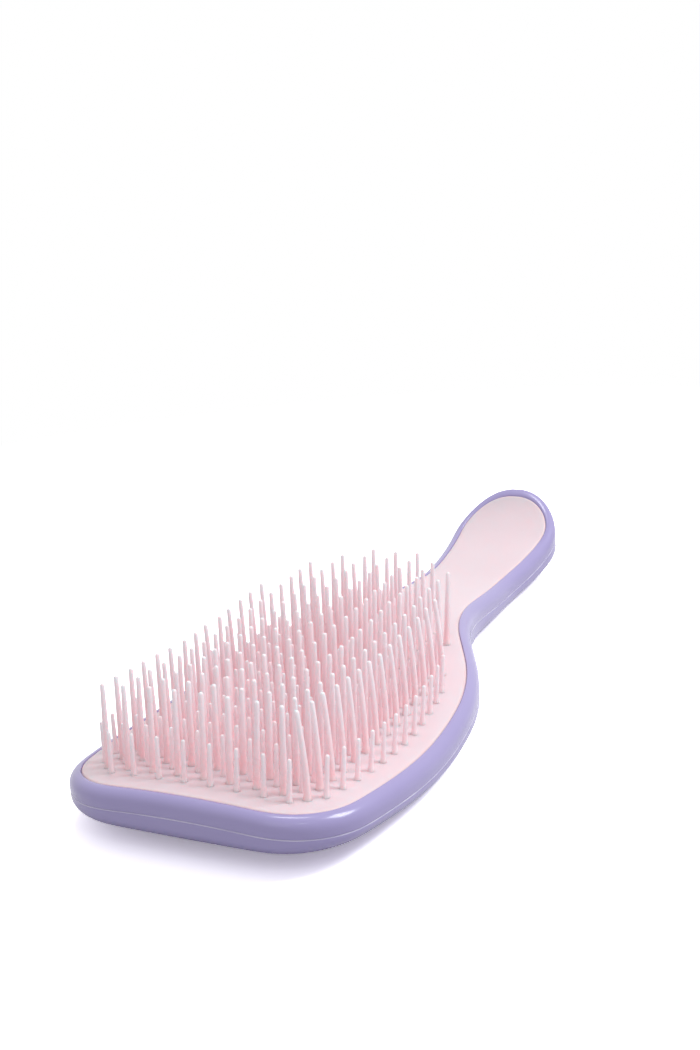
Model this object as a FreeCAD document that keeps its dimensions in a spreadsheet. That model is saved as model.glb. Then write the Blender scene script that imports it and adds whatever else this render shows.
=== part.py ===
import FreeCAD, Part
import math
import os

# Detangling paddle brush lying on its back: X across, Y from the front edge to the handle, Z up.
# A hollow back shell and a rim frame meet at a seam; the frame holds one long face pad
# (head and handle in one), and two heights of bristle stand on the head of that pad.

# Driving dimensions in millimetres; "share" values have no unit.
DIMENSIONS = {
    # overall length, and the length of the pattern on which stations and rows are measured
    "length": 228,
    "pattern_length": 228,
    # plan outline: half-widths and distances from the front edge at its six corners, with their radii
    "front_half": 37.6,
    "front_radius": 23.7,
    "head_half": 44.6,
    "head_station": 46.7,
    "head_radius": 200,
    "shoulder_half": 39.3,
    "shoulder_station": 91,
    "shoulder_radius": 85,
    "neck_half": 17.8,
    "neck_station": 131.6,
    "neck_radius": 75,
    "waist_half": 15.8,
    "waist_station": 178,
    "waist_radius": 110,
    "end_half": 19.8,
    "end_radius": 16.5,
    # stations along the length where the face and the back turn
    "low_station": 58,
    "crest_station": 120,
    "grip_station": 178,
    "curl_station": 198,
    # face: heights at the front and those stations, rise and last curl of the end, fall at the sides
    "face_front": 16.3,
    "face_low": 12.9,
    "face_crest": 15.1,
    "face_grip": 10.6,
    "face_rise": 8.6,
    "face_curl": 7.8,
    "face_crown": 2.9,
    # back: the same, with a rise at the sides
    "back_front": 4.0,
    "back_low": 0,
    "back_crest": 2,
    "back_grip": 0,
    "back_rise": 6.5,
    "back_curl": 5,
    "back_dome": 0.5,
    # rim frame
    "rim_width": 3.2,
    "rim_round": 3.0,
    "seam_drop": 4.7,
    "ledge_width": 4,
    "tongue_width": 1.4,
    "tongue_depth": 1.2,
    # back shell
    "shell_step": 0.2,
    "shell_wall": 2.2,
    "shell_round": 4,
    "cavity_round": 1.2,
    # face pad
    "pad_thickness": 2.4,
    "pad_round": 0.5,
    # bristle field
    "row_start": 12.8,
    "row_pitch": 6.02,
    "column_pitch": 7.08,
    "edge_column_pitch": 6.04,
    "edge_margin": 6,
    "long_height": 20.9,
    "long_root": 1.45,
    "long_tip": 0.85,
    "short_height": 10.2,
    "short_root": 1.2,
    "short_tip": 0.8,
    "point_height": 0.45,
    "lean_share": 0.1334,
    "splay_share": 0.0365,
}

# Long bristles: rows counted from the front in the middle column and in each column further out.
LONG_ROWS_BY_COLUMN = (19, 19, 18, 17, 14)
# Short bristles: rows in each lane between columns, from the middle outwards, and along the edge.
SHORT_ROWS_BY_LANE = (19, 18, 17, 15)
EDGE_SHORT_ROWS = 13
LONG_SIDES = 6
SHORT_SIDES = 5
SIDE_POINTS = 37
FACE_STATIONS = 29
FACE_LINES = 5
ROUND_STEPS = 3
CHAMFER_STEPS = 1
# Share of a straight run that the arcs at its ends may take; a hair over 1 lets two arcs run into one.
RUN_SHARE = 1.003
UP = FreeCAD.Vector(0, 0, 1)

doc = FreeCAD.newDocument("detangling_brush")
sheet = doc.addObject("Spreadsheet::Sheet", "Dimensions")
for number, (alias, value) in enumerate(DIMENSIONS.items(), start=1):
    sheet.set(f"A{number}", alias)
    sheet.set(f"B{number}", str(value))
    sheet.setAlias(f"B{number}", alias)
doc.recompute()


def dim(alias):
    return float(sheet.get(alias))


def along(alias):
    """A distance along the brush, which keeps its share of the length."""
    return dim(alias) * dim("length") / dim("pattern_length")


def bind(item, prop, expression):
    item.setExpression(prop, expression)


def rounded_chain(corners):
    """Edges of an open chain of (x, y, radius) corners, each corner eased by a tangent arc."""
    points = [FreeCAD.Vector(x, y, 0) for x, y, _ in corners]
    runs = [before.distanceToPoint(after) for before, after in zip(points, points[1:])]
    turns = []
    wanted = [0]
    for before, corner, after, (_, _, radius) in zip(points, points[1:], points[2:], corners[1:]):
        back = (before - corner).normalize()
        ahead = (after - corner).normalize()
        slope = math.tan(back.getAngle(ahead) / 2)
        turns.append((corner, back, ahead, slope))
        wanted.append(radius / slope)
    wanted.append(0)
    # share of its reach that each run leaves the arcs at its ends
    room = [RUN_SHARE * run / (first + last) for run, first, last in zip(runs, wanted, wanted[1:])]
    edges = []
    here = points[0]
    for number, (corner, back, ahead, slope) in enumerate(turns):
        reach = wanted[number + 1] * min(1, room[number], room[number + 1])
        radius = reach * slope
        bisector = (back + ahead).normalize()
        middle = corner + bisector * (math.hypot(reach, radius) - radius)
        start = corner + back * reach
        leave = corner + ahead * reach
        edges.append(Part.LineSegment(here, start).toShape())
        edges.append(Part.Arc(start, middle, leave).toShape())
        here = leave
    edges.append(Part.LineSegment(here, points[-1]).toShape())
    return edges


def side_places():
    """Even steps along the right side of the plan: each a place on it and the way in from it."""
    corners = [(0, 0, 0), (dim("front_half"), 0, dim("front_radius"))]
    for place in ("head", "shoulder", "neck", "waist"):
        corners.append((dim(place + "_half"), along(place + "_station"), dim(place + "_radius")))
    corners.append((dim("end_half"), dim("length"), dim("end_radius")))
    corners.append((0, dim("length"), 0))
    # the straight runs across the front and the end are left to the rings
    side = Part.Wire(rounded_chain(corners)[1:-1])
    places = []
    for place in side.discretize(SIDE_POINTS):
        edge = min(side.Edges, key=lambda item: item.distToShape(Part.Vertex(place))[0])
        tangent = edge.tangentAt(edge.Curve.parameter(place))
        places.append((place, UP.cross(tangent)))
    return places


def ease(start, finish, share):
    """From start to finish, level at both ends."""
    return start + (finish - start) * share * share * (3 - 2 * share)


def turning_height(y, kind):
    """Height of the face or back on the centre line: level at each station, rising to the end."""
    low, crest, grip, curl = (along(place + "_station") for place in ("low", "crest", "grip", "curl"))
    front_z, low_z, crest_z, grip_z = (
        dim(f"{kind}_{place}") for place in ("front", "low", "crest", "grip"))
    if y < low:
        return ease(front_z, low_z, max(y, 0) / low)
    if y < crest:
        return ease(low_z, crest_z, (y - low) / (crest - low))
    if y < grip:
        return ease(crest_z, grip_z, (y - crest) / (grip - crest))
    rise = dim(kind + "_rise") * ((y - grip) / (dim("length") - grip)) ** 2
    last = dim(kind + "_curl") * (max(y - curl, 0) / (dim("length") - curl)) ** 3
    return grip_z + rise + last


def face_height(x, y):
    return turning_height(y, "face") - dim("face_crown") * (x / dim("head_half")) ** 2


def back_height(x, y):
    return turning_height(y, "back") + dim("back_dome") * (x / dim("head_half")) ** 2


def over(height, x, y, drop):
    return FreeCAD.Vector(x, y, height(x, y) - drop)


def curved_surface(height, drop):
    """A smooth surface over the whole plan and a margin round it, from a height formula."""
    margin = dim("rim_width")
    reach = dim("head_half") + margin
    lines = []
    for line in range(FACE_LINES):
        x = reach * (2 * line / (FACE_LINES - 1) - 1)
        points = []
        for station in range(FACE_STATIONS):
            y = (dim("length") + 2 * margin) * station / (FACE_STATIONS - 1) - margin
            points.append(over(height, x, y, drop))
        lines.append(points)
    surface = Part.BSplineSurface()
    surface.interpolate(lines)
    return surface


def side_curve(points):
    curve = Part.BSplineCurve()
    curve.interpolate(Points=points, Parameters=list(range(len(points))))
    return curve


def cross_curve(left, centre, right):
    """The parabola from a left to a right point over a point between them."""
    curve = Part.BezierCurve()
    curve.setPoles([left, centre * 2 - (left + right) / 2, right])
    return curve.toBSpline()


class Ring:
    """A closed line round the plan, set in from its edge and lowered from the face or the back."""

    def __init__(self, inset, height, drop=0):
        self.height = height
        self.drop = drop
        right = []
        for place, inward in PLACES:
            spot = place + inward * inset
            right.append(over(height, spot.x, spot.y, drop))
        left = [FreeCAD.Vector(-point.x, point.y, point.z) for point in right]
        front_middle = over(height, 0, right[0].y, drop)
        end_middle = over(height, 0, right[-1].y, drop)
        self.front = cross_curve(left[0], front_middle, right[0])
        self.right = side_curve(right)
        self.end = cross_curve(left[-1], end_middle, right[-1])
        self.left = side_curve(left)

    def cap(self):
        """The curved face that fills the ring."""
        sides = (self.front, self.right, self.end, self.left)
        wire = Part.Wire([side.toShape() for side in sides])
        face = Part.Face(curved_surface(self.height, self.drop), wire)
        face.validate()
        return [face]


def ruled(first, second):
    """The face of straight lines between matching curves."""
    surface = Part.BSplineSurface()
    surface.buildFromPolesMultsKnots(
        [first.getPoles(), second.getPoles()],
        [2, 2], first.getMultiplicities(), [0, 1], first.getKnots(),
        False, False, 1, first.Degree)
    return surface.toShape()


def band(*rings):
    """The faces from each ring to the next."""
    faces = []
    for here, after in zip(rings, rings[1:]):
        for side in ("front", "right", "end", "left"):
            faces.append(ruled(getattr(here, side), getattr(after, side)))
    return faces


def eased_edge(inset, height, drop, radius, steps):
    """Rings from a face round its rounded edge to the wall, downwards or, with a radius below 0, upwards."""
    rings = []
    for step in range(steps + 1):
        turn = math.pi / 2 * step / steps
        rings.append(Ring(
            inset + abs(radius) * (1 - math.sin(turn)), height, drop + radius * (1 - math.cos(turn))))
    return rings


def moulding(name, *groups):
    """The solid that groups of faces close."""
    faces = [face for group in groups for face in group]
    skin = Part.makeCompound(faces)
    skin.sewShape()
    solid = Part.makeSolid(Part.makeShell(skin.Faces))
    if solid.Volume < 0:
        solid.reverse()
    item = doc.addObject("Part::Feature", name)
    item.Shape = solid
    return item


def finish(item, label):
    item.Label = label
    bind(item, "Placement.Base.y", "-Dimensions.length / 2")
    return item


PLACES = side_places()
cavity_inset = dim("shell_step") + dim("shell_wall")
window_inset = dim("rim_width") + dim("ledge_width")


def rim_frame():
    """Rounded rim with a ledge for the pad and a tongue that drops inside the back shell."""
    seam = dim("seam_drop")
    tongue_end = seam + dim("tongue_depth")
    tongue_inset = cavity_inset + dim("tongue_width")
    seat = dim("pad_thickness")
    profile = eased_edge(0, face_height, 0, dim("rim_round"), ROUND_STEPS) + [
        Ring(0, face_height, seam),
        Ring(cavity_inset, face_height, seam),
        Ring(cavity_inset, face_height, tongue_end),
        Ring(tongue_inset, face_height, tongue_end),
        Ring(tongue_inset, face_height, seam),
        Ring(window_inset, face_height, seam),
        Ring(window_inset, face_height, seat),
        Ring(dim("rim_width"), face_height, seat),
        Ring(dim("rim_width"), face_height),
    ]
    return finish(moulding("rim", band(*profile, profile[0])), "rim_frame")


def back_shell():
    """Hollow back with a rounded lower edge, open towards the pad."""
    wall = dim("shell_wall")
    seam = dim("seam_drop")
    outer = eased_edge(dim("shell_step"), back_height, 0, -dim("shell_round"), ROUND_STEPS)
    inner = eased_edge(cavity_inset, back_height, -wall, -dim("cavity_round"), CHAMFER_STEPS)
    outer.append(Ring(dim("shell_step"), face_height, seam))
    inner.append(Ring(cavity_inset, face_height, seam))
    tray = moulding(
        "shell", outer[0].cap(), band(*outer), band(outer[-1], inner[-1]), band(*inner), inner[0].cap())
    return finish(tray, "back_shell")


def face_pad():
    """One soft-edged plate that covers the head and the handle."""
    profile = eased_edge(dim("rim_width"), face_height, 0, dim("pad_round"), CHAMFER_STEPS)
    profile.append(Ring(dim("rim_width"), face_height, dim("pad_thickness")))
    return finish(moulding("pad", profile[0].cap(), band(*profile), profile[-1].cap()), "face_pad")


def face_normal(x, y):
    """Upward normal of the face, from its rise over one bristle root."""
    step = dim("long_root")
    rise_x = face_height(x + step, y) - face_height(x - step, y)
    rise_y = face_height(x, y + step) - face_height(x, y - step)
    return FreeCAD.Vector(-rise_x, -rise_y, 2 * step).normalize()


def bristle(x, y, length, root, tip, sides):
    """A tapered many-sided pin with a pointed end, its root cut to the slope of the face."""
    foot = FreeCAD.Vector(x, y, face_height(x, y))
    normal = face_normal(x, y)
    axis = FreeCAD.Vector(dim("splay_share") * x / dim("long_height"), dim("lean_share"), 1).normalize()
    side = (FreeCAD.Vector(1, 0, 0) - axis * axis.x).normalize()
    across = axis.cross(side)
    neck = foot + axis * (length - dim("point_height"))
    low = []
    high = []
    for number in range(sides):
        turn = 2 * math.pi * number / sides
        outward = side * math.cos(turn) + across * math.sin(turn)
        top = neck + outward * (tip / 2)
        fall = foot + outward * (root / 2) - top
        low.append(top + fall * ((foot - top).dot(normal) / fall.dot(normal)))
        high.append(top)
    apex = foot + axis * length
    faces = [Part.Face(Part.makePolygon(low + low[:1]))]
    for number in range(sides):
        after = (number + 1) % sides
        wall = [low[number], low[after], high[after], high[number], low[number]]
        faces.append(Part.Face(Part.makePolygon(wall)))
        faces.append(Part.Face(Part.makePolygon([high[number], high[after], apex, high[number]])))
    return Part.makeSolid(Part.makeShell(faces))


def column_x(column):
    """Distance from the centre line of a long-bristle column; the outermost stands closer in."""
    last = len(LONG_ROWS_BY_COLUMN) - 1
    if column < last:
        return column * dim("column_pitch")
    return (last - 1) * dim("column_pitch") + dim("edge_column_pitch")


def mirrored_places(x):
    return [x] if x == 0 else [-x, x]


def row_y(row):
    return along("row_start") + row * along("row_pitch")


def bristle_row(label, pins):
    """One row of bristles, each a solid of its own whose root face lies on the pad."""
    row = doc.addObject("Part::Feature", label)
    row.Shape = Part.makeCompound(pins)
    return finish(row, label)


def long_rows():
    rows = []
    for row in range(max(LONG_ROWS_BY_COLUMN)):
        pins = []
        for column, count in enumerate(LONG_ROWS_BY_COLUMN):
            if row < count:
                for x in mirrored_places(column_x(column)):
                    pins.append(bristle(
                        x, row_y(row), dim("long_height"), dim("long_root"), dim("long_tip"), LONG_SIDES))
        rows.append(bristle_row(f"long_bristles_row_{row + 1:02d}", pins))
    return rows


def level(x, y):
    return 0


PAD_SIDE = Ring(dim("rim_width"), level).right.toShape()


def edge_x(y):
    """Where the outermost short bristle stands, one margin in from the edge of the pad."""
    ray = Part.makeLine(FreeCAD.Vector(0, y, 0), FreeCAD.Vector(dim("head_half"), y, 0))
    crossing = PAD_SIDE.distToShape(ray)[1][0][0]
    return crossing.x - dim("edge_margin")


def short_rows():
    rows = []
    for row in range(max(SHORT_ROWS_BY_LANE)):
        y = row_y(row - 0.5)
        places = []
        for lane, count in enumerate(SHORT_ROWS_BY_LANE):
            if row < count:
                places.append((column_x(lane) + column_x(lane + 1)) / 2)
        # the front row has no bristle at the edge
        if 0 < row < EDGE_SHORT_ROWS:
            places.append(edge_x(y))
        pins = []
        for place in places:
            for x in mirrored_places(place):
                pins.append(bristle(
                    x, y, dim("short_height"), dim("short_root"), dim("short_tip"), SHORT_SIDES))
        rows.append(bristle_row(f"short_bristles_row_{row + 1:02d}", pins))
    return rows


parts = [rim_frame(), back_shell(), face_pad()]
doc.recompute()
parts += long_rows()
parts += short_rows()
doc.recompute()

for item in doc.Objects:
    if "Invalid" in item.State or "Error" in item.State:
        raise RuntimeError(f"{item.Name} failed: {item.State}")
for item in parts:
    if item.Shape.isNull() or not item.Shape.isValid():
        raise RuntimeError(f"{item.Label} has no valid shape")

os.makedirs("parts", exist_ok=True)
for item in parts:
    item.Shape.exportStep(os.path.join("parts", item.Label + ".step"))
    print(item.Label, len(item.Shape.Solids), "solids", round(item.Shape.Volume, 1), "mm3")
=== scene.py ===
import bmesh
import bpy
import math
import random
from collections import namedtuple
from mathutils import Matrix, Vector


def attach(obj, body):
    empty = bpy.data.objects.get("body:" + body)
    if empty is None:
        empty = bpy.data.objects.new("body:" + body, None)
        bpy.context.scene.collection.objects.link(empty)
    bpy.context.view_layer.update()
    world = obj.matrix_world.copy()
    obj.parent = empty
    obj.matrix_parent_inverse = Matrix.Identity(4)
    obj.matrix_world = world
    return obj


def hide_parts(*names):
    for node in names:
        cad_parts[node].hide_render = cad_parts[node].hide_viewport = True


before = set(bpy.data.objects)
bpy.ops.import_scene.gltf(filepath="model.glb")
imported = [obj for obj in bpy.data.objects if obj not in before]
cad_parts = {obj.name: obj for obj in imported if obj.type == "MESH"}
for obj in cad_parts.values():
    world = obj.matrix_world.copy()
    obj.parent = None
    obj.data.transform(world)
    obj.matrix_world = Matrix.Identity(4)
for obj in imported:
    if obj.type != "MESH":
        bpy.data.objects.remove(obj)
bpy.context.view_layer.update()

# A detangling brush lying on its back: lilac back shell and rim frame, pink face pad and bristles.
# All sizes are metres, in the frame of the solids: X across, Y from the front edge to the handle.
LENGTH = 0.228
FRONT_Y = -LENGTH / 2
HEAD_HALF = 0.0446

# Where the face and the back turn along the length, from the front edge
LOW_STATION = 0.058
CREST_STATION = 0.12
GRIP_STATION = 0.178
CURL_STATION = 0.198

# Plan outline: half-width, distance from the front edge and corner radius
PLAN_CORNERS = (
    (0.0376, 0, 0.0202),
    (HEAD_HALF, 0.0467, 0.2),
    (0.0393, 0.091, 0.085),
    (0.0178, 0.1316, 0.075),
    (0.0158, GRIP_STATION, 0.11),
    (0.0198, LENGTH, 0.0165),
)

# Heights at the front, low, crest and grip, rise and last curl of the end, and fall or rise at the sides
FACE_HEIGHTS = (0.0163, 0.0129, 0.0151, 0.0106)
FACE_RISE = 0.0086
FACE_CURL = 0.0078
FACE_CROWN = 0.0029
BACK_HEIGHTS = (0.0045, 0, 0.002, 0)
BACK_RISE = 0.0065
BACK_CURL = 0.005
BACK_DOME = 0.0005

# Rim frame
RIM_WIDTH = 0.0032
RIM_ROUND = 0.003
RIM_EASE = 0.0002
LEDGE_WIDTH = 0.004
TONGUE_WIDTH = 0.0014
TONGUE_DEPTH = 0.0012

# Seam between the rim frame and the back shell
SEAM_DROP = 0.0047
SEAM_GAP = 0.00003
SEAM_ROUND = 0.0001
LIP_ROUND = 0.00028

# Back shell, with a lower edge that tucks under
SHELL_WALL = 0.0024
TUCK_WIDTH = 0.0075
TUCK_DEPTH = 0.004

# Face pad
PAD_THICKNESS = 0.0024
PAD_ROUND = 0.0006
PAD_GAP = 0.00006

# Bristles: paleness is the share of the tip's colour at the root, painted light on the short bristles,
# which stand in the open; sides and steps are of the mesh
Pin = namedtuple("Pin", "height root tip paleness sides steps")
LONG_PIN = Pin(height=0.0209, root=0.00182, tip=0.00118, paleness=0, sides=16, steps=10)
SHORT_PIN = Pin(height=0.0102, root=0.0014, tip=0.00098, paleness=0.35, sides=14, steps=7)
ROOT_SINK = 0.0003
FLARE_REACH = 0.00045
FLARE_SHARE = 0.25
LEAN_SHARE = 0.1334
SPLAY_SHARE = 0.0365

# Bristle field
ROW_START = 0.0128
ROW_PITCH = 0.00602
COLUMN_PITCH = 0.00708
EDGE_COLUMN_PITCH = 0.00604
EDGE_MARGIN = 0.006
LONG_ROWS_BY_COLUMN = (19, 19, 18, 17, 14)
SHORT_ROWS_BY_LANE = (19, 18, 17, 15)
EDGE_SHORT_ROWS = 13
SHORT_ROW_SHIFT = 0.5

# Bend of the tips: inwards near the right edge, and loose all over
INWARD_BEND = 0.0027
BEND_START = 0.0195
BEND_REACH = 0.007
BEND_POWER = 1.4
LOOSE_BEND = 0.00022
SHORT_LOOSE_BEND = LOOSE_BEND / 3

# Mesh fineness
SIDE_STEPS = 180
RUN_STEPS = 26
ROUND_STEPS = 10
SMALL_ROUND_STEPS = 4
SMOOTH_PASSES = 6
STEP_SLACK = 1e-9
STATION_POWER = 1.5
SHARP_ANGLE = math.radians(50)

# Where the colour drift of a material starts and ends on its noise
TINT_START = 0.35
TINT_END = 0.65

# Floor: reach, where its shadow fades into white, and its own light for the camera
FLOOR_REACH = 6
FADE_START = 0.17
FADE_END = 0.4
FLOOR_LIFT = 0.19

# Lamps: name, place, target, size, power in watts and colour
WORLD_LEVEL = 0.61
BRUSH_MIDDLE = (0, 0, 0.02)
FRONT_CORNER = (0.02, -0.1, 0.01)
LAMPS = (
    ("key", (0.65, 0.35, 0.9), BRUSH_MIDDLE, (0.45, 0.45), 7.6, (0.94, 0.98, 1)),
    ("overhead", (-0.07, 0.17, 0.96), BRUSH_MIDDLE, (0.3, 0.12), 1.4, (0.98, 0.99, 1)),
    ("front_fill", (0.1, -0.9, 0.7), BRUSH_MIDDLE, (0.6, 0.6), 0.4, (1, 1, 1)),
    ("window", (0.46, -0.54, 0.8), FRONT_CORNER, (0.1, 0.05), 0.2, (0.85, 0.93, 1)),
)

# Camera at the photograph's viewing angle; lens and sensor in millimetres
CAMERA_PLACE = (0.17827, -0.35909, 0.16897)
CAMERA_FORWARD = Vector((-0.442522, 0.848532, -0.290116))
CAMERA_UP = Vector((-0.061363, 0.294106, 0.953801))
CAMERA_LENS = 50.17
CAMERA_SENSOR = 36

random.seed(7)


# Plan and height formulas

def plan_pieces():
    """Lines and tangent arcs from the front run to the end run on the right side of the plan."""
    corners = [(0, 0, 0), *PLAN_CORNERS, (0, LENGTH, 0)]
    points = [Vector((x, y)) for x, y, _ in corners]
    pieces = []
    here = None
    for before, corner, after, (_, _, radius) in zip(points, points[1:], points[2:], corners[1:]):
        back = (before - corner).normalized()
        ahead = (after - corner).normalized()
        half_angle = back.angle(ahead) / 2
        reach = radius / math.tan(half_angle)
        start = corner + back * reach
        leave = corner + ahead * reach
        centre = corner + (back + ahead).normalized() * (radius / math.sin(half_angle))
        if here is not None:
            pieces.append(("line", here, start, (start - here).length))
        turn = (start - centre).angle_signed(leave - centre)
        pieces.append(("arc", start, centre, radius, turn))
        here = leave
    return pieces


def piece_length(piece):
    return piece[3] if piece[0] == "line" else abs(piece[3] * piece[4])


def piece_point(piece, along):
    if piece[0] == "line":
        return piece[1].lerp(piece[2], along / piece[3])
    _, start, centre, radius, turn = piece
    angle = -turn * along / abs(radius * turn)
    return centre + Matrix.Rotation(angle, 2) @ (start - centre)


def side_points():
    """Even steps along the right side of the plan."""
    pieces = plan_pieces()
    total = sum(piece_length(piece) for piece in pieces)
    wanted = [total * step / (SIDE_STEPS - 1) for step in range(SIDE_STEPS)]
    points = []
    passed = 0
    for piece in pieces:
        length = piece_length(piece)
        while len(points) < SIDE_STEPS and wanted[len(points)] <= passed + length + STEP_SLACK:
            points.append(piece_point(piece, wanted[len(points)] - passed))
        passed += length
    return points


def straight_run(first, last):
    """Points between two ends, without the ends."""
    return [first.lerp(last, step / (RUN_STEPS + 1)) for step in range(1, RUN_STEPS + 1)]


def smoothed(loop):
    """Each point of a closed loop, drawn towards its two neighbours."""
    following = loop[1:] + loop[:1]
    return [(loop[i - 1] + loop[i] * 2 + following[i]) / 4 for i in range(len(loop))]


def plan_loop():
    """The plan outline as (place, way in) pairs: right side, end run, left side, front run."""
    right = side_points()
    left = [Vector((-point.x, point.y)) for point in reversed(right)]
    loop = right + straight_run(right[-1], left[0]) + left + straight_run(left[-1], right[0])
    for _ in range(SMOOTH_PASSES):
        loop = smoothed(loop)
    places = []
    for number, place in enumerate(loop):
        along = (loop[(number + 1) % len(loop)] - loop[number - 1]).normalized()
        places.append((place, Vector((-along.y, along.x))))
    return places


PLAN = plan_loop()


def ease(start, finish, share):
    return start + (finish - start) * share * share * (3 - 2 * share)


def turning_height(y, heights, rise, curl):
    """Height along the length: eased between the stations, then a rise and a curl to the end."""
    front_z, low_z, crest_z, grip_z = heights
    if y < LOW_STATION:
        return ease(front_z, low_z, max(y, 0) / LOW_STATION)
    if y < CREST_STATION:
        return ease(low_z, crest_z, (y - LOW_STATION) / (CREST_STATION - LOW_STATION))
    if y < GRIP_STATION:
        return ease(crest_z, grip_z, (y - CREST_STATION) / (GRIP_STATION - CREST_STATION))
    rise_share = (y - GRIP_STATION) / (LENGTH - GRIP_STATION)
    curl_share = max(y - CURL_STATION, 0) / (LENGTH - CURL_STATION)
    return grip_z + rise * rise_share ** 2 + curl * curl_share ** 3


def face_height(x, y):
    along = turning_height(y, FACE_HEIGHTS, FACE_RISE, FACE_CURL)
    return along - FACE_CROWN * (x / HEAD_HALF) ** 2


def back_height(x, y):
    along = turning_height(y, BACK_HEIGHTS, BACK_RISE, BACK_CURL)
    return along + BACK_DOME * (x / HEAD_HALF) ** 2


# Meshes

def add_ring(work, inset, height, drop):
    """Vertices round the plan, set in from its edge and lowered from a height formula."""
    ring = []
    for place, inward in PLAN:
        spot = place + inward * inset
        ring.append(work.verts.new((spot.x, spot.y + FRONT_Y, height(spot.x, spot.y) - drop)))
    return ring


def add_skin(work, rings, material_number=0):
    """Faces between each ring and the next."""
    for low, high in zip(rings, rings[1:]):
        for number in range(len(low)):
            face = work.faces.new((low[number - 1], low[number], high[number], high[number - 1]))
            face.material_index = material_number


def add_cap(work, ring, height, drop):
    """Rows of faces across the plan that fill a ring."""
    right = ring[:SIDE_STEPS]
    end_run = ring[SIDE_STEPS:SIDE_STEPS + RUN_STEPS]
    left = ring[SIDE_STEPS + RUN_STEPS:2 * SIDE_STEPS + RUN_STEPS][::-1]
    front_run = ring[2 * SIDE_STEPS + RUN_STEPS:][::-1]
    rows = [[right[0], *front_run, left[0]]]
    for first, last in zip(right[1:-1], left[1:-1]):
        row = [first]
        for spot in straight_run(first.co, last.co):
            row.append(work.verts.new((spot.x, spot.y, height(spot.x, spot.y - FRONT_Y) - drop)))
        rows.append([*row, last])
    rows.append([right[-1], *end_run, left[-1]])
    for near, far in zip(rows, rows[1:]):
        for number in range(len(near) - 1):
            work.faces.new((near[number], near[number + 1], far[number + 1], far[number]))


def quarter_round(inset, drop, width, depth, steps):
    """(inset, drop) pairs of an outer edge, from a face of that drop to a wall of that inset."""
    pairs = []
    for step in range(steps + 1):
        turn = math.pi / 2 * step / steps
        pairs.append((inset + width * (1 - math.sin(turn)), drop + depth * (1 - math.cos(turn))))
    return pairs


def finish_mesh(name, work, materials, slot, *nodes):
    """The piece made of a worked mesh, standing for its solids and riding on the one body."""
    bmesh.ops.recalc_face_normals(work, faces=work.faces)
    mesh = bpy.data.meshes.new(name)
    work.to_mesh(mesh)
    work.free()
    mesh.shade_smooth()
    mesh.set_sharp_from_angle(angle=SHARP_ANGLE)
    for material in materials:
        mesh.materials.append(material)
    piece = bpy.data.objects.new(name, mesh)
    bpy.context.scene.collection.objects.link(piece)
    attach(piece, "root")
    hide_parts(*nodes)


# Materials

def new_material(name, colour, roughness):
    """A material with its mean colour and roughness, and its shader."""
    material = bpy.data.materials.new(name)
    material.use_nodes = True
    shader = material.node_tree.nodes["Principled BSDF"]
    shader.inputs["Base Color"].default_value = (*colour, 1)
    shader.inputs["Roughness"].default_value = roughness
    return material, shader


def add_node(material, kind, **inputs):
    node = material.node_tree.nodes.new(kind)
    for name, value in inputs.items():
        node.inputs[name.replace("_", " ")].default_value = value
    return node


def link(material, source, target):
    material.node_tree.links.new(source, target)


def add_grain(material, shader, scale, detail, strength, distance):
    """Fine bump of the moulding, in object coordinates."""
    place = add_node(material, "ShaderNodeTexCoord")
    grain = add_node(material, "ShaderNodeTexNoise", Scale=scale, Detail=detail)
    bump = add_node(material, "ShaderNodeBump", Strength=strength, Distance=distance)
    link(material, place.outputs["Object"], grain.inputs["Vector"])
    link(material, grain.outputs["Fac"], bump.inputs["Height"])
    link(material, bump.outputs["Normal"], shader.inputs["Normal"])
    return place


def add_tint(material, shader, place, scale, low, high):
    """Slow drift of the colour over the piece."""
    cloud = add_node(material, "ShaderNodeTexNoise", Scale=scale, Detail=2)
    ramp = add_node(material, "ShaderNodeValToRGB")
    ramp.color_ramp.elements[0].position = TINT_START
    ramp.color_ramp.elements[1].position = TINT_END
    ramp.color_ramp.elements[0].color = (*low, 1)
    ramp.color_ramp.elements[1].color = (*high, 1)
    link(material, place.outputs["Object"], cloud.inputs["Vector"])
    link(material, cloud.outputs["Fac"], ramp.inputs["Fac"])
    link(material, ramp.outputs["Color"], shader.inputs["Base Color"])


def add_roughness_drift(material, shader, place, scale, low, high):
    """Slow drift of the gloss over the piece."""
    cloud = add_node(material, "ShaderNodeTexNoise", Scale=scale, Detail=3)
    spread = add_node(material, "ShaderNodeMapRange", To_Min=low, To_Max=high)
    link(material, place.outputs["Object"], cloud.inputs["Vector"])
    link(material, cloud.outputs["Fac"], spread.inputs["Value"])
    link(material, spread.outputs["Result"], shader.inputs["Roughness"])


def set_subsurface(shader, weight, radius, scale):
    shader.inputs["Subsurface Weight"].default_value = weight
    shader.inputs["Subsurface Radius"].default_value = radius
    shader.inputs["Subsurface Scale"].default_value = scale


def gloss_lilac():
    """Hard moulded plastic with a clear gloss."""
    material, shader = new_material("gloss_lilac", (0.355, 0.308, 0.565), 0.22)
    place = add_grain(material, shader, scale=900, detail=2, strength=0.004, distance=0.0002)
    add_tint(material, shader, place, 40, (0.347, 0.3, 0.557), (0.363, 0.316, 0.573))
    add_roughness_drift(material, shader, place, scale=120, low=0.2, high=0.26)
    shader.inputs["Coat Weight"].default_value = 0.25
    shader.inputs["Coat Roughness"].default_value = 0.08
    return material


def seam_highlight_lilac():
    """Paler, drier edge of the shell where it meets the rim: the paleness is a painted highlight on the
    lip.
    """
    material, shader = new_material("seam_highlight_lilac", (0.6, 0.56, 0.74), 0.4)
    place = add_grain(material, shader, scale=1500, detail=2, strength=0.05, distance=0.0001)
    add_tint(material, shader, place, 160, (0.52, 0.48, 0.68), (0.68, 0.64, 0.8))
    add_roughness_drift(material, shader, place, scale=200, low=0.35, high=0.5)
    return material


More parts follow.
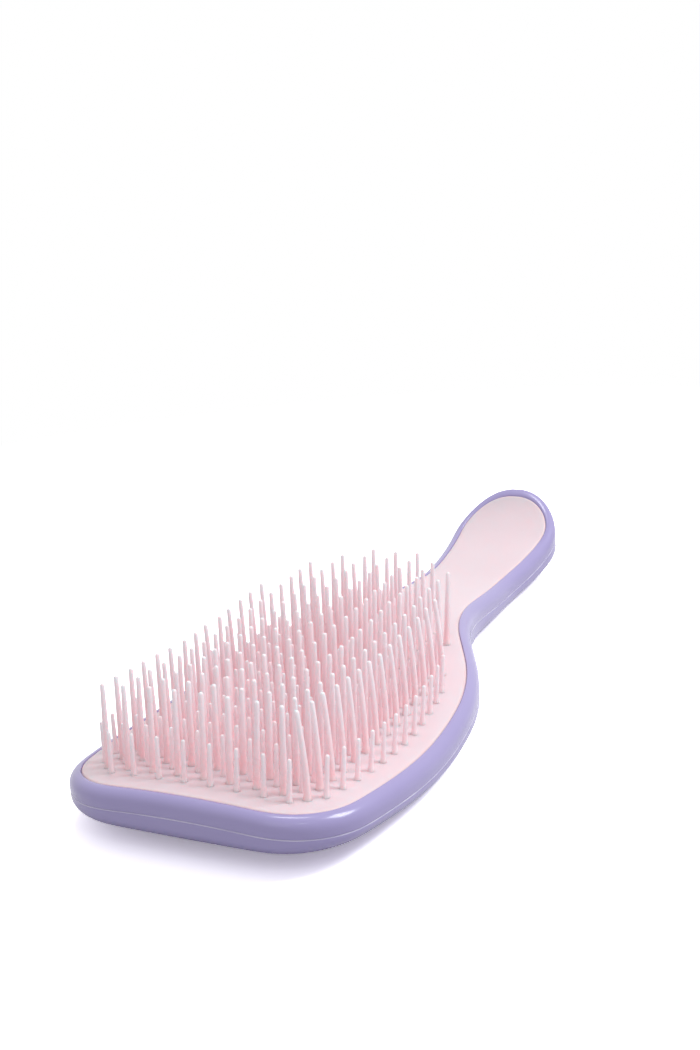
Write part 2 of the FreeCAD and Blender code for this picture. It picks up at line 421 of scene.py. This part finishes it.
def satin_pink():
    """Softer plastic of the pad, with a fine satin texture."""
    material, shader = new_material("satin_pink", (0.76, 0.605, 0.645), 0.5)
    place = add_grain(material, shader, scale=2600, detail=3, strength=0.08, distance=0.0001)
    add_tint(material, shader, place, 30, (0.75, 0.595, 0.635), (0.77, 0.615, 0.655))
    add_roughness_drift(material, shader, place, scale=200, low=0.42, high=0.55)
    set_subsurface(shader, weight=0.7, radius=(1.0, 0.4, 0.4), scale=0.004)
    return material


def edge_shade_peach():
    """Warm peach on the pad's rounded edge, painted shade of that edge; light also comes a little way
    into the thin plastic.
    """
    material, shader = new_material("edge_shade_peach", (0.78, 0.6, 0.62), 0.5)
    place = add_grain(material, shader, scale=2600, detail=3, strength=0.05, distance=0.0001)
    add_tint(material, shader, place, 60, (0.77, 0.58, 0.6), (0.79, 0.62, 0.64))
    set_subsurface(shader, weight=0.3, radius=(1.0, 0.45, 0.35), scale=0.001)
    return material


def bristle_pink():
    """Bristle that lets light in, warm pink at the root and nearly white at the tip: the run from pink
    to white is painted shade deep among the bristles and painted light at the tips.
    """
    material, shader = new_material("bristle_pink", (0.93, 0.78, 0.81), 0.35)
    place = add_node(material, "ShaderNodeTexCoord")
    along = add_node(material, "ShaderNodeAttribute")
    along.attribute_name = "along"
    # Ramp from root to tip: painted shade deep among the bristles, painted light at the tips.
    ramp = add_node(material, "ShaderNodeValToRGB")
    ramp.color_ramp.elements[0].color = (1, 0.69, 0.71, 1)
    ramp.color_ramp.elements[1].color = (0.98, 0.83, 0.87, 1)
    link(material, along.outputs["Fac"], ramp.inputs["Fac"])
    link(material, ramp.outputs["Color"], shader.inputs["Base Color"])
    add_roughness_drift(material, shader, place, scale=60, low=0.25, high=0.3)
    set_subsurface(shader, weight=0.75, radius=(1.0, 0.5, 0.52), scale=0.0022)
    return material


LILAC = gloss_lilac()
SEAM_HIGHLIGHT_LILAC = seam_highlight_lilac()
PAD_PINK = satin_pink()
EDGE_SHADE_PEACH = edge_shade_peach()
BRISTLE_PINK = bristle_pink()


# Mouldings

def rim_frame():
    """Rim with a rounded shoulder, a seat and ledge for the pad, and a tongue inside the shell."""
    low_edge = SEAM_DROP - SEAM_GAP
    tongue_end = SEAM_DROP + TONGUE_DEPTH
    tongue_back = SHELL_WALL + TONGUE_WIDTH
    window = RIM_WIDTH + LEDGE_WIDTH
    profile = quarter_round(0, 0, RIM_ROUND, RIM_ROUND, ROUND_STEPS)
    profile += quarter_round(0, low_edge, SEAM_ROUND, -SEAM_ROUND, SMALL_ROUND_STEPS)[::-1]
    profile += [
        (SHELL_WALL, low_edge),
        (SHELL_WALL, tongue_end),
        (tongue_back, tongue_end),
        (tongue_back, SEAM_DROP),
        (window, SEAM_DROP),
        (window, PAD_THICKNESS),
        (RIM_WIDTH, PAD_THICKNESS),
        (RIM_WIDTH, RIM_EASE),
    ]
    work = bmesh.new()
    rings = [add_ring(work, inset, face_height, drop) for inset, drop in profile]
    add_skin(work, [*rings, rings[0]])
    finish_mesh("rim", work, (LILAC,), "shell", "rim_frame")


def back_shell():
    """Hollow back: a lip at the seam, painted pale as a highlight, walls that tuck under, and a thin
    floor.
    """
    work = bmesh.new()
    lip = quarter_round(0, SEAM_DROP, LIP_ROUND, LIP_ROUND, SMALL_ROUND_STEPS)
    lip_rings = [add_ring(work, inset, face_height, drop) for inset, drop in lip]
    under = quarter_round(0, 0, TUCK_WIDTH, -TUCK_DEPTH, ROUND_STEPS)[::-1]
    wall_rings = [add_ring(work, inset, back_height, drop) for inset, drop in under]
    inner_top = add_ring(work, SHELL_WALL, face_height, SEAM_DROP)
    inner_floor = add_ring(work, SHELL_WALL, back_height, -SHELL_WALL)
    # The lip takes the paler seam material: a painted highlight on its rounded edge.
    add_skin(work, lip_rings, 1)
    add_skin(work, [lip_rings[-1], *wall_rings])
    add_skin(work, [lip_rings[0], inner_top, inner_floor])
    add_cap(work, wall_rings[-1], back_height, 0)
    add_cap(work, inner_floor, back_height, -SHELL_WALL)
    finish_mesh("back", work, (LILAC, SEAM_HIGHLIGHT_LILAC), "shell", "back_shell")


def face_pad():
    """One plate with a soft edge that covers the head and the handle."""
    work = bmesh.new()
    edge = RIM_WIDTH + PAD_GAP
    profile = quarter_round(edge, 0, PAD_ROUND, PAD_ROUND, SMALL_ROUND_STEPS)
    profile.append((edge, PAD_THICKNESS))
    rings = [add_ring(work, inset, face_height, drop) for inset, drop in profile]
    # The rounded edge takes the peach material: painted shade along the pad's edge.
    add_skin(work, rings, 1)
    add_cap(work, rings[0], face_height, 0)
    add_cap(work, rings[-1], face_height, PAD_THICKNESS)
    finish_mesh("pad", work, (PAD_PINK, EDGE_SHADE_PEACH), "pad", "face_pad")


# Bristles

def pin_stations(pin):
    """(way up, radius) pairs of a bristle: sunk and flared root, tapered stem, domed tip."""
    stem = pin.height - pin.tip / 2
    stations = [(-ROOT_SINK, pin.root / 2 * (1 + FLARE_SHARE))]
    for step in range(pin.steps + 1):
        up = stem * (step / pin.steps) ** STATION_POWER
        radius = pin.root / 2 + (pin.tip - pin.root) / 2 * up / stem
        stations.append((up, radius * (1 + FLARE_SHARE * math.exp(-up / FLARE_REACH))))
    for step in range(1, SMALL_ROUND_STEPS):
        turn = math.pi / 2 * step / SMALL_ROUND_STEPS
        stations.append((stem + pin.tip / 2 * math.sin(turn), pin.tip / 2 * math.cos(turn)))
    return stations


def add_bristle(work, layer, pin, x, y, bend):
    """A bristle that stands on the face, with a bend that grows towards the tip."""
    foot = Vector((x, y + FRONT_Y, face_height(x, y)))
    axis = Vector((SPLAY_SHARE * x / LONG_PIN.height, LEAN_SHARE, 1)).normalized()
    side = (Vector((1, 0, 0)) - axis * axis.x).normalized()
    across = axis.cross(side)
    rings = []
    for up, radius in pin_stations(pin):
        share = max(up, 0) / pin.height
        centre = foot + axis * up + bend * share ** BEND_POWER
        ring = []
        for number in range(pin.sides):
            turn = 2 * math.pi * number / pin.sides
            outward = side * math.cos(turn) + across * math.sin(turn)
            vertex = work.verts.new(centre + outward * radius)
            # Share up the bristle for the colour ramp, which carries the painted light and shade.
            vertex[layer] = pin.paleness + (1 - pin.paleness) * share
            ring.append(vertex)
        rings.append(ring)
    add_skin(work, rings)
    work.faces.new(rings[0][::-1])
    apex = work.verts.new(foot + axis * pin.height + bend)
    apex[layer] = 1
    for number in range(pin.sides):
        work.faces.new((rings[-1][number - 1], rings[-1][number], apex))


def column_x(column):
    """Columns of long bristles stand evenly, but the outermost one stands closer."""
    last = len(LONG_ROWS_BY_COLUMN) - 1
    if column < last:
        return column * COLUMN_PITCH
    return (last - 1) * COLUMN_PITCH + EDGE_COLUMN_PITCH


def mirrored_places(x):
    return [x] if x == 0 else [-x, x]


def row_y(row):
    return ROW_START + row * ROW_PITCH


def edge_x(y):
    """Where the outermost short bristle stands, one margin in from the edge of the pad."""
    right = [place + inward * RIM_WIDTH for place, inward in PLAN[:SIDE_STEPS]]
    near, far = next(pair for pair in zip(right, right[1:]) if pair[0].y <= y <= pair[1].y)
    return near.lerp(far, (y - near.y) / (far.y - near.y)).x - EDGE_MARGIN


def long_bend(x):
    """Bristles near the right edge bow inwards; all stand a little loose."""
    share = min(max((x - BEND_START) / BEND_REACH, 0), 1)
    bow = ease(0, -INWARD_BEND, share)
    return Vector((bow + random.gauss(0, LOOSE_BEND), random.gauss(0, LOOSE_BEND), 0))


def short_bend():
    return Vector((random.gauss(0, SHORT_LOOSE_BEND), random.gauss(0, SHORT_LOOSE_BEND), 0))


def add_row(kind, row, y, roots, pin):
    """The piece with a row of bristles, each given by its place across and its bend."""
    work = bmesh.new()
    layer = work.verts.layers.float.new("along")
    for x, bend in roots:
        add_bristle(work, layer, pin, x, y, bend)
    number = f"{row + 1:02d}"
    finish_mesh(f"{kind}_{number}", work, (BRISTLE_PINK,), "bristle", f"{kind}_row_{number}")


def long_row(row):
    places = [column_x(column) for column, count in enumerate(LONG_ROWS_BY_COLUMN) if row < count]
    roots = [(x, long_bend(x)) for place in places for x in mirrored_places(place)]
    add_row("long_bristles", row, row_y(row), roots, LONG_PIN)


def short_row(row):
    """Short bristles stand half a row ahead, midway between the columns and along the edge."""
    y = row_y(row - SHORT_ROW_SHIFT)
    places = []
    for lane, count in enumerate(SHORT_ROWS_BY_LANE):
        if row < count:
            places.append((column_x(lane) + column_x(lane + 1)) / 2)
    if 0 < row < EDGE_SHORT_ROWS:
        places.append(edge_x(y))
    roots = [(x, short_bend()) for place in places for x in mirrored_places(place)]
    add_row("short_bristles", row, y, roots, SHORT_PIN)


rim_frame()
back_shell()
face_pad()
for number in range(max(LONG_ROWS_BY_COLUMN)):
    long_row(number)
for number in range(max(SHORT_ROWS_BY_LANE)):
    short_row(number)


# Stage, light and camera

def seeing_rays(tree):
    """1 for the rays that show the background: straight, mirrored or through a clear piece."""
    path = tree.nodes.new("ShaderNodeLightPath")
    mirrored = tree.nodes.new("ShaderNodeMath")
    mirrored.operation = "MAXIMUM"
    every = tree.nodes.new("ShaderNodeMath")
    every.operation = "MAXIMUM"
    tree.links.new(path.outputs["Is Camera Ray"], mirrored.inputs[0])
    tree.links.new(path.outputs["Is Glossy Ray"], mirrored.inputs[1])
    tree.links.new(mirrored.outputs[0], every.inputs[0])
    tree.links.new(path.outputs["Is Transmission Ray"], every.inputs[1])
    return every.outputs[0]


def mix_shaders(material, share, first, second):
    """The first shader where the share is 0 and the second where it is 1."""
    mix = add_node(material, "ShaderNodeMixShader")
    link(material, share, mix.inputs["Fac"])
    link(material, first, mix.inputs[1])
    link(material, second, mix.inputs[2])
    return mix.outputs[0]


def lit_paper(material):
    """Paper with the shadow. The camera sees it brighter, so that the shadow's edge turns white."""
    path = add_node(material, "ShaderNodeLightPath")
    paper = add_node(material, "ShaderNodeBsdfDiffuse", Color=(0.95, 0.935, 0.965, 1))
    bright_paper = add_node(material, "ShaderNodeBsdfDiffuse", Color=(1.88, 1.86, 1.91, 1))
    straight = path.outputs["Is Camera Ray"]
    lit = mix_shaders(material, straight, paper.outputs[0], bright_paper.outputs[0])
    level = add_node(material, "ShaderNodeMapRange", To_Max=FLOOR_LIFT)
    # Lavender glow for the camera, seen where the floor is in shadow while lit parts turn white: a
    # painted purple tint of the shade.
    lift = add_node(material, "ShaderNodeEmission", Color=(0.96, 0.89, 1, 1))
    both = add_node(material, "ShaderNodeAddShader")
    link(material, straight, level.inputs["Value"])
    link(material, level.outputs["Result"], lift.inputs["Strength"])
    link(material, lit, both.inputs[0])
    link(material, lift.outputs[0], both.inputs[1])
    return both.outputs[0]


def far_share(material):
    """0 near the brush and 1 far from it."""
    place = add_node(material, "ShaderNodeTexCoord")
    distance = add_node(material, "ShaderNodeVectorMath")
    distance.operation = "LENGTH"
    fade = add_node(material, "ShaderNodeMapRange", From_Min=FADE_START, From_Max=FADE_END)
    link(material, place.outputs["Object"], distance.inputs[0])
    link(material, distance.outputs["Value"], fade.inputs["Value"])
    return fade.outputs["Result"]


def floor_white():
    """Paper near the brush, plain white far from it, and a duller floor for the light it throws back."""
    material = bpy.data.materials.new("floor_white")
    material.use_nodes = True
    material.node_tree.nodes.clear()
    white = add_node(material, "ShaderNodeEmission", Color=(1, 1, 1, 1), Strength=1)
    bounce = add_node(material, "ShaderNodeBsdfDiffuse", Color=(0.5, 0.48, 0.52, 1))
    seen = mix_shaders(material, far_share(material), lit_paper(material), white.outputs[0])
    surface = mix_shaders(material, seeing_rays(material.node_tree), bounce.outputs[0], seen)
    out = add_node(material, "ShaderNodeOutputMaterial")
    link(material, surface, out.inputs["Surface"])
    return material


def white_floor():
    """Pale floor that keeps the shadow near the brush and fades to white further out."""
    mesh = bpy.data.meshes.new("floor")
    corners = [(-FLOOR_REACH, -FLOOR_REACH, 0), (FLOOR_REACH, -FLOOR_REACH, 0)]
    corners += [(FLOOR_REACH, FLOOR_REACH, 0), (-FLOOR_REACH, FLOOR_REACH, 0)]
    mesh.from_pydata(corners, [], [(0, 1, 2, 3)])
    mesh.materials.append(floor_white())
    floor = bpy.data.objects.new("floor", mesh)
    bpy.context.scene.collection.objects.link(floor)


def world_light():
    """Even light from all round, which shows as white."""
    world = bpy.data.worlds.new("studio")
    bpy.context.scene.world = world
    world.use_nodes = True
    tree = world.node_tree
    back = tree.nodes["Background"]
    back.inputs["Color"].default_value = (1, 1, 1, 1)
    level = tree.nodes.new("ShaderNodeMapRange")
    level.inputs["To Min"].default_value = WORLD_LEVEL
    level.inputs["To Max"].default_value = 1
    tree.links.new(seeing_rays(tree), level.inputs["Value"])
    tree.links.new(level.outputs["Result"], back.inputs["Strength"])


def area_light(name, place, target, size, power, colour):
    light = bpy.data.lights.new(name, "AREA")
    light.shape = "RECTANGLE"
    light.size, light.size_y = size
    light.energy = power
    light.color = colour
    lamp = bpy.data.objects.new(name, light)
    lamp.location = place
    lamp.rotation_euler = (Vector(target) - Vector(place)).to_track_quat("-Z", "Y").to_euler()
    bpy.context.scene.collection.objects.link(lamp)


def photo_camera():
    camera = bpy.data.cameras.new("camera")
    camera.sensor_width = CAMERA_SENSOR
    camera.lens = CAMERA_LENS
    holder = bpy.data.objects.new("camera", camera)
    right = CAMERA_FORWARD.cross(CAMERA_UP)
    turn = Matrix((right, CAMERA_UP, -CAMERA_FORWARD)).transposed()
    holder.matrix_world = Matrix.Translation(CAMERA_PLACE) @ turn.to_4x4()
    bpy.context.scene.collection.objects.link(holder)
    bpy.context.scene.camera = holder


white_floor()
world_light()
for lamp in LAMPS:
    area_light(*lamp)
photo_camera()
bpy.context.scene.view_settings.view_transform = "Standard"
